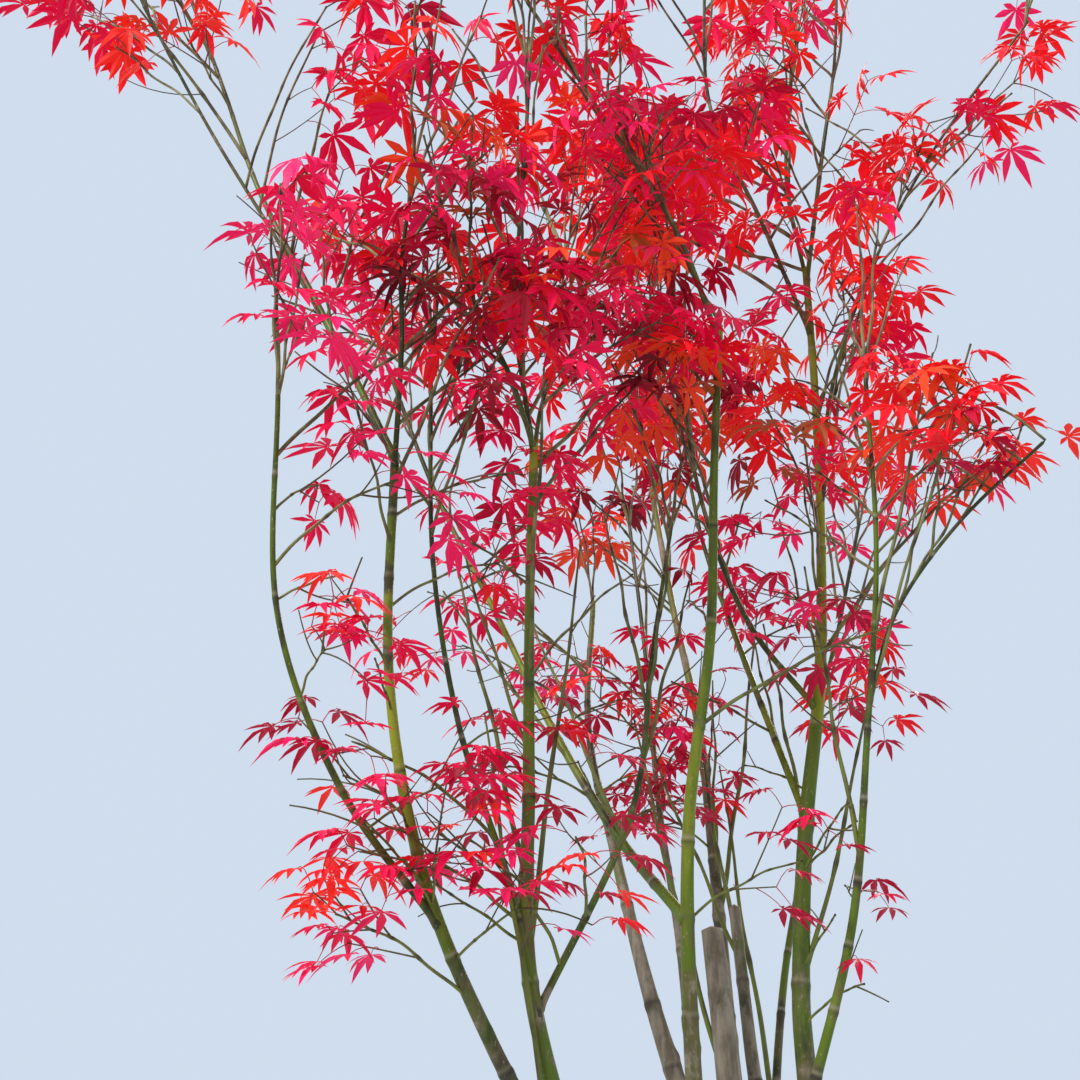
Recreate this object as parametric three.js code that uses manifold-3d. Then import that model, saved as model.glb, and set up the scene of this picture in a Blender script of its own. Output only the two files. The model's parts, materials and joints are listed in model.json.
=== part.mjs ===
// Japanese maple: a clump of slim green stems that fan out from one short flared trunk, under a crown of
// open red leaf sprays. Millimetres, +Z up, front towards -Y. The origin is the centre of the flat cut
// under the trunk, at ground level.
import * as THREE from "three";
import { mergeVertices } from "three/addons/utils/BufferGeometryUtils.js";
import Module from "manifold-3d";

const wasm = await Module();
wasm.setup();

// Trunk: its main fork stands at waist height, and five root buttresses flare out at the ground
const TRUNK_TOP = [2, 4, 1000];
const TRUNK_BOW = [20, -10, 0];
const TRUNK_FOOT_THICKNESS = 92;
const TRUNK_TOP_THICKNESS = 58;
const TRUNK_SIDES = 15;
const TRUNK_RINGS = 10;
const FLARE_SHARE = 0.75;
const FLARE_HEIGHT = 75;
const BUTTRESSES = 5;
const BUTTRESS_SHARE = 0.14;

// Limbs: facets, how fast they slim down from the foot, and how far they wander beside their even bow
const LIMB_SIDES = 6;
const LIMB_RING_STEP = 185;
const TAPER_POWER = 1.7;
const WANDER = 6;
const WANDER_LENGTH = 300;

// Foliage masses: facets round and down, and how uneven their outline is, as a share of their size
const MASS_SIDES = 9;
const MASS_RINGS = 6;
const UNEVENNESS = 0.15;

// Clearance between two neighbouring solids
const GAP = 0.3;

// Each limb: name, the limb that carries it and how far up that limb it starts (0 foot, 1 tip), the place
// of its tip, how far it bows away from the straight line, how much the bow leans towards the foot (to 1)
// or the tip (to -1), and its thickness at foot and tip
const LIMBS = [
  // The left of the clump
  ["left_leader", "trunk", 0.7, [-152, -98, 1085], [-26, -14, -14], 0, 32, 22],
  ["near_stem", "left_leader", 0.98, [-196, -200, 1791], [-32, 4, 12], 0.76, 19, 9],
  ["left_stem", "left_leader", 0.96, [-334, -238, 1764], [-56, -18, -58], -0.34, 17, 9],
  ["far_left_stem", "left_stem", 0.43, [-436, -329, 1782], [-52, 4, -45], -0.05, 9, 5],
  ["upper_left_limb", "left_stem", 0.99, [-621, -136, 2425], [-21, 12, 18], 0.26, 8.5, 4.5],
  ["upper_left_shoot", "upper_left_limb", 0.17, [-638, -254, 2310], [3, 39, 2], 0.22, 5.5, 3.5],
  ["left_top_shoot", "left_stem", 0.98, [-319, -330, 2000], [-1, -13, 24], 0.27, 6.5, 4],
  ["near_left_shoot", "near_stem", 0.99, [-260, -290, 1915], [-8, -13, 16], -0.01, 6, 4],
  ["near_top_shoot", "near_stem", 0.98, [-201, -299, 2184], [-15, 5, 16], 0, 6, 4],
  ["near_right_shoot", "near_stem", 0.96, [-161, -71, 2105], [-2, -12, -43], 0, 6, 4],
  ["green_crossing_limb", "near_stem", 0.21, [-37, -1, 1785], [36, -1, 12], 0.7, 9, 4.5],
  ["slender_stem", "near_stem", 0.14, [-304, -197, 1853], [-22, -9, -21], -1, 9, 4.5],
  // The middle of the clump
  ["centre_stem", "trunk", 0.96, [11, -132, 1970], [-43, -11, -34], 1, 22, 8.5],
  ["centre_top_limb", "centre_stem", 0.98, [-207, -208, 2358], [22, -5, -12], 0.99, 7.5, 4],
  ["long_diagonal_limb", "centre_stem", 0.4, [-417, 230, 2152], [17, 43, -105], 0, 13, 6],
  ["grey_limb", "trunk", 0.95, [-120, 238, 1770], [-32, -16, -22], -1, 30, 7],
  ["grey_limb_prong", "grey_limb", 0.22, [-69, 260, 1892], [4, -6, -16], -0.81, 12, 5],
  ["old_leader_stub", "trunk", 0.98, [-6, 52, 1335], [4, 6, 0], 0, 34, 23],
  ["pruned_stub", "trunk", 0.95, [24, 84, 1362], [20, 8, 0], 0, 22, 12],
  // The right of the clump
  ["right_stem", "trunk", 0.93, [159, 79, 2178], [34, 3, -33], -0.27, 27, 9.5],
  ["right_top_left_limb", "right_stem", 0.98, [188, 166, 2618], [-17, 3, 31], -0.09, 7, 4],
  ["right_top_right_limb", "right_stem", 0.98, [226, 39, 2615], [10, -4, 30], 0.95, 7.5, 4],
  ["upper_diagonal_limb", "right_stem", 0.92, [23, -80, 2528], [-33, -11, -26], -0.77, 7, 4],
  ["middle_diagonal_limb", "right_stem", 0.54, [-28, -61, 2009], [-37, 14, -38], 0.47, 8.5, 4.5],
  ["lower_diagonal_limb", "right_stem", 0.44, [12, 230, 1939], [-19, 52, 61], -0.02, 10, 5],
  ["outer_right_stem", "right_stem", 0.03, [168, -134, 1902], [43, -7, -16], -0.15, 14, 5],
  ["low_right_limb", "outer_right_stem", 0.63, [333, -190, 1797], [-27, 17, 16], 0.38, 5, 3.5],
  ["right_reaching_limb", "right_stem", 0.72, [426, -101, 2425], [-60, 48, 25], -0.04, 6, 3.5],
  // The back of the clump
  ["back_right_stem", "right_stem", 0.05, [259, 320, 1916], [-14, 56, -11], -0.23, 12, 5],
  ["back_stem", "trunk", 0.86, [-34, 300, 1960], [30, 40, 0], 0, 25, 8],
  ["back_top_limb", "back_stem", 0.98, [-34, 240, 2330], [12, 20, 0], 0, 7.5, 4],
];

// Each mass of foliage: name, the place of its middle, its half width, half depth and half height, and
// its tint
const MASSES = [
  ["foliage_tips_far_left", [-690, -195, 2410], [136, 150, 130], "scarlet"],
  ["foliage_tips_left", [-310, -308, 2185], [186, 156, 128], "crimson"],
  ["foliage_upper_left", [-440, -205, 1985], [144, 174, 74], "crimson"],
  ["foliage_mid_left", [-395, -300, 1800], [120, 152, 108], "crimson"],
  ["foliage_low_left", [-385, -305, 1580], [92, 120, 98], "crimson"],
  ["foliage_low_front", [-305, -220, 1385], [134, 118, 80], "crimson"],
  ["foliage_centre_left", [-240, -270, 1935], [92, 154, 126], "maroon"],
  ["foliage_low_centre_left", [-226, -170, 1680], [88, 144, 116], "crimson"],
  ["foliage_low_centre", [-200, -105, 1490], [94, 142, 70], "crimson"],
  ["foliage_tips_centre", [-136, -180, 2465], [156, 168, 152], "scarlet"],
  ["foliage_upper_centre", [-76, -165, 2195], [104, 174, 126], "crimson"],
  ["foliage_centre", [-70, -110, 1960], [110, 168, 128], "maroon"],
  ["foliage_heart", [-66, -20, 1755], [108, 154, 92], "maroon"],
  ["foliage_low_heart", [-36, 110, 1585], [94, 142, 104], "crimson"],
  ["foliage_tips_right", [150, 50, 2660], [164, 184, 168], "scarlet"],
  ["foliage_upper_right", [125, -10, 2385], [138, 180, 146], "crimson"],
  ["foliage_shoulder_right", [205, 50, 2125], [154, 168, 116], "scarlet"],
  ["foliage_far_right_tips", [372, -72, 2335], [110, 120, 184], "scarlet"],
  ["foliage_right_reach", [275, -155, 1815], [138, 152, 110], "orange"],
  ["foliage_centre_right", [100, -40, 1890], [94, 156, 112], "maroon"],
  ["foliage_mid_right", [175, -85, 1640], [110, 136, 82], "crimson"],
  ["foliage_low_right", [112, 110, 1670], [104, 144, 108], "crimson"],
  ["foliage_foot_right", [122, -50, 1365], [62, 100, 120], "crimson"],
  ["foliage_back_left", [-335, 240, 2150], [166, 180, 152], "crimson"],
  ["foliage_back_low_left", [-262, 195, 1790], [132, 146, 104], "crimson"],
  ["foliage_back_centre", [-80, 350, 1920], [152, 162, 146], "maroon"],
  ["foliage_back_top", [-30, 215, 2400], [164, 168, 180], "scarlet"],
  ["foliage_back_right", [240, 365, 2010], [156, 162, 156], "crimson"],
];

const LEAF_COLOURS = { crimson: 0xd8143c, scarlet: 0xee2418, orange: 0xe8501c, maroon: 0x7c1424 };
const BARK_COLOURS = { grown: 0x6b6f45, green: 0x7f9038, grey: 0x6e6357 };
const GREY_LIMBS = ["grey_limb", "grey_limb_prong", "old_leader_stub", "pruned_stub", "back_stem"];
const GREEN_FROM_THICKNESS = 9;

// A closed geometry as a solid for cutting, its shared corners merged
function solidOf(geometry) {
  geometry.deleteAttribute("normal");
  geometry.deleteAttribute("uv");
  const merged = mergeVertices(geometry, 1e-3);
  const vertProperties = merged.attributes.position.array;
  const triVerts = new Uint32Array(merged.index.array);
  return new wasm.Manifold(new wasm.Mesh({ numProp: 3, vertProperties, triVerts }));
}

// A solid back as a flat-shaded geometry
function geometryOf(solid) {
  const mesh = solid.getMesh();
  const geometry = new THREE.BufferGeometry();
  geometry.setAttribute("position", new THREE.BufferAttribute(mesh.vertProperties, 3));
  geometry.setIndex(new THREE.BufferAttribute(mesh.triVerts, 1));
  const flat = geometry.toNonIndexed();
  flat.computeVertexNormals();
  return flat;
}

// A limb's centre line: the straight way from foot to tip, pushed aside by the bow, which may lean towards
// one end, with a slight side to side wander that dies out at both ends
class LimbPath extends THREE.Curve {
  constructor(foot, tip, bow, lean, turn) {
    super();
    this.foot = foot;
    this.tip = tip;
    this.bow = bow;
    this.lean = lean;
    this.turn = turn;
    this.waves = foot.distanceTo(tip) / WANDER_LENGTH;
  }

  getPoint(share, target = new THREE.Vector3()) {
    const fade = Math.sin(Math.PI * share);
    const leaning = 1 + this.lean * (1 - 2 * share);
    const angle = this.turn + 2 * Math.PI * this.waves * share;
    target.lerpVectors(this.foot, this.tip, share);
    target.addScaledVector(this.bow, 4 * share * (1 - share) * leaning);
    target.x += WANDER * fade * Math.sin(angle);
    target.y += WANDER * fade * Math.cos(1.3 * angle);
    return target;
  }
}

// A cylinder laid along a centre line, with the radius that its place up and round the line asks for, and
// made larger all over by the clearance where it is used to cut its neighbours
function laidAlong(path, sides, rings, radiusAt, clearance) {
  const cylinder = new THREE.CylinderGeometry(1, 1, 1, sides, rings);
  const frames = path.computeFrenetFrames(rings, false);
  const corners = cylinder.attributes.position;
  const place = new THREE.Vector3();
  for (let i = 0; i < corners.count; i++) {
    const share = corners.getY(i) + 0.5;
    const ring = Math.round(share * rings);
    const radius = radiusAt(share, Math.atan2(corners.getX(i), corners.getZ(i))) + clearance;
    const overrun = ring === 0 ? -clearance : ring === rings ? clearance : 0;
    path.getPoint(share, place);
    place.addScaledVector(frames.normals[ring], corners.getX(i) * radius);
    place.addScaledVector(frames.binormals[ring], -corners.getZ(i) * radius);
    place.addScaledVector(frames.tangents[ring], overrun);
    corners.setXYZ(i, place.x, place.y, place.z);
  }
  return cylinder;
}

// Thickness between foot and tip: quick to slim down near the foot, even further out
function taper(footThickness, tipThickness, share) {
  return tipThickness + (footThickness - tipThickness) * (1 - share) ** TAPER_POWER;
}

// Trunk: flat at the ground, flared over the buttresses, then slimming up to the fork
function trunkSolid(path, clearance) {
  const height = TRUNK_TOP[2];
  const radiusAt = (share, angle) => {
    const fall = Math.exp((-share * height) / FLARE_HEIGHT);
    const flare = 1 + fall * (FLARE_SHARE + BUTTRESS_SHARE * Math.cos(BUTTRESSES * angle));
    return (taper(TRUNK_FOOT_THICKNESS, TRUNK_TOP_THICKNESS, share) / 2) * flare;
  };
  const geometry = laidAlong(path, TRUNK_SIDES, TRUNK_RINGS, radiusAt, clearance);
  const corners = geometry.attributes.position;
  const lowestRing = height / TRUNK_RINGS / 2;
  for (let i = 0; i < corners.count; i++) {
    if (corners.getZ(i) < lowestRing) corners.setZ(i, 0);
  }
  return solidOf(geometry);
}

function limbSolid(path, footThickness, tipThickness, clearance) {
  const rings = Math.max(3, Math.round(path.getLength() / LIMB_RING_STEP));
  const radiusAt = (share) => taper(footThickness, tipThickness, share) / 2;
  return solidOf(laidAlong(path, LIMB_SIDES, rings, radiusAt, clearance));
}

// A mass of foliage: a ball pushed in and out by three crossing waves, then stretched to its half sizes
function massSolid(middle, halves, number, clearance) {
  const ball = new THREE.SphereGeometry(1, MASS_SIDES, MASS_RINGS);
  ball.rotateX(Math.PI / 2);
  const corners = ball.attributes.position;
  const corner = new THREE.Vector3();
  for (let i = 0; i < corners.count; i++) {
    corner.fromBufferAttribute(corners, i);
    const waves =
      Math.sin(3.1 * corner.x + 1.7 * number) +
      Math.sin(3.7 * corner.y + 2.9 * number) +
      Math.sin(4.3 * corner.z + 0.8 * number + 2 * corner.x);
    corner.multiplyScalar(1 + UNEVENNESS * waves);
    corners.setXYZ(i, corner.x, corner.y, corner.z);
  }
  ball.computeBoundingBox();
  const size = ball.boundingBox.getSize(new THREE.Vector3());
  const centre = ball.boundingBox.getCenter(new THREE.Vector3());
  ball.translate(-centre.x, -centre.y, -centre.z);
  const stretch = halves.map((half, axis) => (2 * (half + clearance)) / size.getComponent(axis));
  ball.scale(...stretch);
  ball.translate(...middle);
  return solidOf(ball);
}

// The largest body of a solid, where a cut has left a crumb beside it
function largestBody(solid) {
  const bodies = solid.decompose();
  return bodies.reduce((best, body) => (body.volume() > best.volume() ? body : best));
}

// Each solid is cut by all that stand before it, and joins the list together with its slightly larger
// double that cuts the ones after it
const standing = [];
function stand(name, makeSolid) {
  let solid = makeSolid(0);
  for (const other of standing) {
    solid = solid.subtract(other.larger);
  }
  const piece = { name, solid: largestBody(solid), larger: makeSolid(GAP) };
  standing.push(piece);
  return piece;
}

const tree = new THREE.Group();

function addMesh(piece, colour, roughness) {
  const material = new THREE.MeshStandardMaterial({ color: colour, roughness, metalness: 0 });
  const mesh = new THREE.Mesh(geometryOf(piece.solid), material);
  mesh.name = piece.name;
  tree.add(mesh);
}

// Trunk and limbs, each one starting on the centre line of the limb that carries it
const paths = {};
paths.trunk = new LimbPath(
  new THREE.Vector3(0, 0, 0),
  new THREE.Vector3(...TRUNK_TOP),
  new THREE.Vector3(...TRUNK_BOW),
  0,
  0,
);
addMesh(stand("trunk", (clearance) => trunkSolid(paths.trunk, clearance)), BARK_COLOURS.grey, 0.85);

LIMBS.forEach(([name, carrier, share, tip, bow, lean, footThickness, tipThickness], number) => {
  const foot = paths[carrier].getPoint(share);
  const path = new LimbPath(foot, new THREE.Vector3(...tip), new THREE.Vector3(...bow), lean, number);
  paths[name] = path;
  const piece = stand(name, (clearance) => limbSolid(path, footThickness, tipThickness, clearance));
  let colour = footThickness < GREEN_FROM_THICKNESS ? BARK_COLOURS.green : BARK_COLOURS.grown;
  if (GREY_LIMBS.includes(name)) colour = BARK_COLOURS.grey;
  addMesh(piece, colour, 0.75);
});

// Foliage masses, cut round the limbs that run into and through them
MASSES.forEach(([name, middle, halves, tint], number) => {
  const piece = stand(name, (clearance) => massSolid(middle, halves, number, clearance));
  addMesh(piece, LEAF_COLOURS[tint], 0.6);
});

export default tree;
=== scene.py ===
# %% [markdown]
# # A Japanese maple, grown from its frame
# The tree is 2.8 m tall: slim green stems fan out from one trunk and carry open tiers of red leaves. The
# frame holds the trunk, the limbs and one plain solid for each mass of foliage. This script gives the
# wood its bark, and puts real twigs, leaf stalks and leaves where the plain foliage solids stand.

import json

import bpy
import numpy as np
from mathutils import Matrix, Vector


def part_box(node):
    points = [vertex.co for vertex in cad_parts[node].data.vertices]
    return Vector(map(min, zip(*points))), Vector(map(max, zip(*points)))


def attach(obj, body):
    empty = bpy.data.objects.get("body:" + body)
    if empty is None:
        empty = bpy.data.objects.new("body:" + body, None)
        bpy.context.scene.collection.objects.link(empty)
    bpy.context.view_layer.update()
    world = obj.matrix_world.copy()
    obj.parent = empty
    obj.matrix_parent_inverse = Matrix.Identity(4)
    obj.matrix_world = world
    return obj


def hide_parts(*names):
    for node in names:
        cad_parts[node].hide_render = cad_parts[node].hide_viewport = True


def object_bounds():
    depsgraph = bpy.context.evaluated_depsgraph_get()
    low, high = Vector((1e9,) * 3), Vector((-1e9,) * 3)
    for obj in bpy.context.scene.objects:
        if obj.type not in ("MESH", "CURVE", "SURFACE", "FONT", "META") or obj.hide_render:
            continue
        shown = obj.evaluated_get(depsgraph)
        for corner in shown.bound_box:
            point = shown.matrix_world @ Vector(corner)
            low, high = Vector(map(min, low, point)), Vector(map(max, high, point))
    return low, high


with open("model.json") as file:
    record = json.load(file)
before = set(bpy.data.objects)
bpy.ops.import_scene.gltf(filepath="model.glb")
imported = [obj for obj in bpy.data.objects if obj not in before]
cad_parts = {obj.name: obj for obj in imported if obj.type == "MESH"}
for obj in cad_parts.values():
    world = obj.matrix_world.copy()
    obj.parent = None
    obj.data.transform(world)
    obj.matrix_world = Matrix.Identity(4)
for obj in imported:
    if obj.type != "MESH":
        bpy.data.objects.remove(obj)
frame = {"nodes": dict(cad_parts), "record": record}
FOLIAGE = "foliage_"
cad_box = np.array([list(corner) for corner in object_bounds()])
nodes = frame["nodes"]
slot_of = {part["node"]: part["material_slot"] for part in frame["record"]["subparts"]}
mass_names = sorted(name for name in nodes if name.startswith(FOLIAGE))
limb_names = sorted(set(nodes) - set(mass_names) - {"trunk"})
rng = np.random.default_rng(20261)
print(len(limb_names), "limbs and", len(mass_names), "masses of foliage in a box of", cad_box.round(3))

# %% [markdown]
# ## Reading the wood's centre lines
# Each limb of the frame is a six-sided tube, so its corners stand in rings. Sorting the corners along the
# limb's longest direction puts every ring in a group of its own, and the middle of each group is a point
# of the centre line. Taking the line from the frame, and not from a second list of sizes, keeps the bark
# exactly where the solids are. Only the foot of a limb is ragged, because its carrier cuts it there, so
# that end is put on the carrier's own centre line, at the share of its length where the limb grows out.

# %% Small helpers for directions and curves
UP = np.array([0.0, 0.0, 1.0])
RING_GAP = 0.03  # rings of one limb are further apart than this, in metres
LIMB_SIDES = 6
FOOT_FLARE = 1.12  # thickness at the foot, as a share of the first whole ring's
LINE_STEPS = 24  # points that the smooth line has for each ring of the solid
RING_MISSING = 1.6  # a first gap this many times the second one means that a ring was cut away
TINY = 1e-9


def unit(vectors):
    """Each vector divided by its length."""
    return vectors / np.maximum(np.linalg.norm(vectors, axis=-1, keepdims=True), TINY)


def bell(distance, width):
    """1 at distance 0, and less further away: e to the power of minus the square of distance over width."""
    return np.exp(-((distance / width) ** 2))


def smooth_through(points, steps):
    """Catmull-Rom curve: between two points it is the cubic whose slope at each of them is half the way
    from the point before to the point after."""
    ends = np.vstack([2 * points[0] - points[1], points, 2 * points[-1] - points[-2]])
    t = (np.arange(steps) / steps)[None, :, None]
    a, b, c, d = ends[:-3, None], ends[1:-2, None], ends[2:-1, None], ends[3:, None]
    cubic = 2 * b + (c - a) * t + (2 * a - 5 * b + 4 * c - d) * t**2 + (3 * b - a - 3 * c + d) * t**3
    return np.vstack([0.5 * cubic.reshape(-1, points.shape[1]), points[-1:]])


def rings_of(name):
    """The corners of a node in groups from foot to tip: sorted along its longest direction, with a new
    group after each gap wider than RING_GAP."""
    mesh = nodes[name].data
    flat = np.empty(len(mesh.vertices) * 3)
    mesh.vertices.foreach_get("co", flat)
    corners = np.unique(flat.reshape(-1, 3).round(5), axis=0)
    longest = np.linalg.svd(corners - corners.mean(axis=0))[2][0]
    height = corners @ (longest * np.sign(longest[2]))
    order = np.argsort(height)
    return np.split(corners[order], np.flatnonzero(np.diff(height[order]) > RING_GAP) + 1)


def middle_and_radius(ring):
    """Centre of a ring, and the distance from it to the ring's corners, as four numbers."""
    centre = ring.mean(axis=0)
    return [*centre, np.linalg.norm(ring - centre, axis=1).max()]


# %% Centre line and radius of every limb
def line_of(name):
    """The limb's whole rings: those above its first group of corners, and above the last group that has
    more corners than a ring."""
    rings = rings_of(name)[1:]
    ragged = [number for number, ring in enumerate(rings) if len(ring) > LIMB_SIDES + 1]
    return np.array([middle_and_radius(ring) for ring in rings[max(ragged, default=-1) + 1 :]])


# Each limb's carrier, and the share of the carrier's length where it grows out, in the order of growing.
CARRIED_BY = {
    "left_leader": ("trunk", 0.7),
    "near_stem": ("left_leader", 0.98),
    "left_stem": ("left_leader", 0.96),
    "far_left_stem": ("left_stem", 0.43),
    "upper_left_limb": ("left_stem", 0.99),
    "upper_left_shoot": ("upper_left_limb", 0.17),
    "left_top_shoot": ("left_stem", 0.98),
    "near_left_shoot": ("near_stem", 0.99),
    "near_top_shoot": ("near_stem", 0.98),
    "near_right_shoot": ("near_stem", 0.96),
    "green_crossing_limb": ("near_stem", 0.21),
    "slender_stem": ("near_stem", 0.14),
    "centre_stem": ("trunk", 0.96),
    "centre_top_limb": ("centre_stem", 0.98),
    "long_diagonal_limb": ("centre_stem", 0.4),
    "grey_limb": ("trunk", 0.95),
    "grey_limb_prong": ("grey_limb", 0.22),
    "old_leader_stub": ("trunk", 0.98),
    "pruned_stub": ("trunk", 0.95),
    "right_stem": ("trunk", 0.93),
    "right_top_left_limb": ("right_stem", 0.98),
    "right_top_right_limb": ("right_stem", 0.98),
    "upper_diagonal_limb": ("right_stem", 0.92),
    "middle_diagonal_limb": ("right_stem", 0.54),
    "lower_diagonal_limb": ("right_stem", 0.44),
    "outer_right_stem": ("right_stem", 0.03),
    "low_right_limb": ("outer_right_stem", 0.63),
    "right_reaching_limb": ("right_stem", 0.72),
    "back_right_stem": ("right_stem", 0.05),
    "back_stem": ("trunk", 0.86),
    "back_top_limb": ("back_stem", 0.98),
}

trunk_rings = rings_of("trunk")
trunk_line = np.array([middle_and_radius(ring) for ring in trunk_rings])
wood_guides = {"trunk": smooth_through(trunk_line, LINE_STEPS)}
limbs = {}
for name, (carrier, share) in CARRIED_BY.items():
    rings = line_of(name)
    foot = wood_guides[carrier][round(share * (len(wood_guides[carrier]) - 1))]
    if np.linalg.norm(rings[0, :3] - foot[:3]) > RING_MISSING * np.linalg.norm(rings[1, :3] - rings[0, :3]):
        print(name, "has a ring cut by its carried limbs: the parabola through the next three gives it")
        rings = np.vstack([3 * rings[0] - 3 * rings[1] + rings[2], rings])
    points = np.vstack([[*foot[:3], rings[0, 3] * FOOT_FLARE], rings])
    wood_guides[name] = smooth_through(points, LINE_STEPS)
    limbs[name] = {"line": wood_guides[name], "carrier_radius": foot[3]}
print("longest limb has", max(len(limb["line"]) for limb in limbs.values()), "points")

# %% [markdown]
# ## Putting arrays into meshes
# Every piece below is worked out as whole arrays of corners and faces. Handing them to Blender in one go
# with foreach_set is fast enough for hundreds of thousands of faces, where a loop over vertices is not.


# %% Mesh and tube helpers
def put(name, corners, face_sets, material, layers=None):
    """A new smooth object with the given corners; each face set is an array with one face in each row. A
    layer is one number for each corner, which the material can read by name."""
    mesh = bpy.data.meshes.new(name)
    mesh.vertices.add(len(corners))
    mesh.vertices.foreach_set("co", np.ascontiguousarray(corners, dtype=np.float32).ravel())
    loops = np.concatenate([faces.ravel() for faces in face_sets]).astype(np.int32)
    sizes = np.concatenate([np.full(len(faces), faces.shape[1]) for faces in face_sets])
    mesh.loops.add(len(loops))
    mesh.loops.foreach_set("vertex_index", loops)
    mesh.polygons.add(len(sizes))
    mesh.polygons.foreach_set("loop_start", (np.cumsum(sizes) - sizes).astype(np.int32))
    mesh.polygons.foreach_set("use_smooth", np.full(len(sizes), True))
    mesh.update(calc_edges=True)
    for layer, values in (layers or {}).items():
        attribute = mesh.attributes.new(layer, "FLOAT", "POINT")
        attribute.data.foreach_set("value", np.ascontiguousarray(values, dtype=np.float32).ravel())
    mesh.materials.append(material)
    piece = bpy.data.objects.new(name, mesh)
    bpy.context.collection.objects.link(piece)
    print(name, "has", int((sizes - 2).sum()), "triangles")
    return piece


def across(line):
    """Two directions square to each point of a line: one steady direction that is square to the line's
    chord, made square to the line there, and the one square to both."""
    chord = unit(line[..., -1, :] - line[..., 0, :])
    helper = np.where(np.abs(chord[..., 2:]) < 0.8, UP, np.array([1.0, 0.0, 0.0]))
    steady = unit(np.cross(chord, helper))[..., None, :]
    along = unit(np.gradient(line, axis=-2))
    side = unit(steady - (steady * along).sum(axis=-1, keepdims=True) * along)
    return side, np.cross(along, side)


def tubes(line, radius, sides):
    """Corners of round tubes: the line's point plus radius times a unit circle square to the line. The
    radius has one number for each point, or one for each point and side."""
    side, up = across(line)
    turn = 2 * np.pi * np.arange(sides) / sides
    circle = np.cos(turn)[:, None] * side[..., None, :] + np.sin(turn)[:, None] * up[..., None, :]
    radius = radius[..., None, None] if radius.ndim < line.ndim else radius[..., None]
    return line[..., None, :] + radius * circle


def tube_faces(count, rows, sides):
    """Quads between the rows of count tubes, and one face over each tube's foot and tip."""
    first = (rows * sides * np.arange(count))[:, None, None]
    row = np.arange(rows - 1)[None, :, None] * sides
    here = np.arange(sides)[None, None, :]
    after = (here + 1) % sides
    quads = np.stack([row + here, row + after, row + sides + after, row + sides + here], axis=-1)
    quads = quads + first[..., None]
    foot = first[:, 0] + np.arange(sides)[::-1]
    tip = first[:, 0] + (rows - 1) * sides + np.arange(sides)
    return [quads.reshape(-1, 4), foot, tip]


def quadratic(foot, middle, tip, rows):
    """Points on curves from foot to tip that are drawn towards middle, by the quadratic Bezier formula."""
    t = np.linspace(0, 1, rows)[:, None]
    foot, middle, tip = (place[..., None, :] for place in (foot, middle, tip))
    return (1 - t) ** 2 * foot + 2 * t * (1 - t) * middle + t**2 * tip


# %% [markdown]
# ## Shader maths as plain expressions
# A material is easier to read as a formula than as a list of links. The small class below wraps a socket,
# and its operators add Math nodes. Every other node comes from one method of the material's sketch pad.


# %% Sketch pad for materials
class Signal:
    """A socket whose operators add Math nodes."""

    def __init__(self, pad, socket):
        self.pad = pad
        self.socket = socket

    def math(self, operation, first, second):
        return self.pad.node("ShaderNodeMath", {"operation": operation}, {0: first, 1: second})

    def __add__(self, other):
        return self.math("ADD", self, other)

    def __sub__(self, other):
        return self.math("SUBTRACT", self, other)

    def __rsub__(self, other):
        return self.math("SUBTRACT", other, self)

    def __mul__(self, other):
        return self.math("MULTIPLY", self, other)

    __radd__ = __add__
    __rmul__ = __mul__


class Pad:
    """A material and its nodes."""

    def __init__(self, name):
        self.material = bpy.data.materials.new(name)
        self.material.use_nodes = True
        self.tree = self.material.node_tree
        self.shader = self.tree.nodes["Principled BSDF"]

    def node(self, kind, settings=None, inputs=None, output=0):
        """One node: its settings first, then its sockets, each a plain value or a signal to link."""
        made = self.tree.nodes.new(kind)
        for name, value in (settings or {}).items():
            setattr(made, name, value)
        for name, value in (inputs or {}).items():
            self.feed(made.inputs[name], value)
        return Signal(self, made.outputs[output])

    def feed(self, socket, value):
        if isinstance(value, Signal):
            self.tree.links.new(value.socket, socket)
        else:
            socket.default_value = value

    def mix(self, first, second, factor):
        """The first colour turning into the second as the factor goes from 0 to 1."""
        settings = {"data_type": "RGBA", "clamp_factor": True}
        return self.node("ShaderNodeMix", settings, {"Factor": factor, 6: first, 7: second}, output=2)

    def stretch(self, scale):
        """The object's own coordinates, stretched."""
        place = self.node("ShaderNodeTexCoord", output="Object")
        return self.node("ShaderNodeMapping", inputs={"Vector": place, "Scale": scale})

    def noise(self, scale, size, detail=3.0, roughness=0.55):
        """Soft noise from 0 to 1 over stretched coordinates."""
        inputs = {"Vector": self.stretch(scale), "Scale": size, "Detail": detail, "Roughness": roughness}
        return self.node("ShaderNodeTexNoise", inputs=inputs)

    def between(self, signal, low, high):
        """0 below low, 1 above high and smooth in between."""
        inputs = {"Value": signal, "From Min": low, "From Max": high}
        return self.node("ShaderNodeMapRange", {"interpolation_type": "SMOOTHSTEP"}, inputs)

    def layer(self, name):
        """A number that the mesh carries for each corner."""
        return self.node("ShaderNodeAttribute", {"attribute_name": name}, output="Fac")

    def bump(self, height, distance, strength):
        inputs = {"Height": height, "Distance": distance, "Strength": strength}
        return self.node("ShaderNodeBump", inputs=inputs)

    def finish(self, **sockets):
        """Feeds the shader's sockets; an underscore in a name stands for a space."""
        for name, value in sockets.items():
            self.feed(self.shader.inputs[name.replace("_", " ")], value)
        return self.material


def rgb(red, green, blue):
    """A colour in linear light."""
    return (red, green, blue, 1.0)


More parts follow.
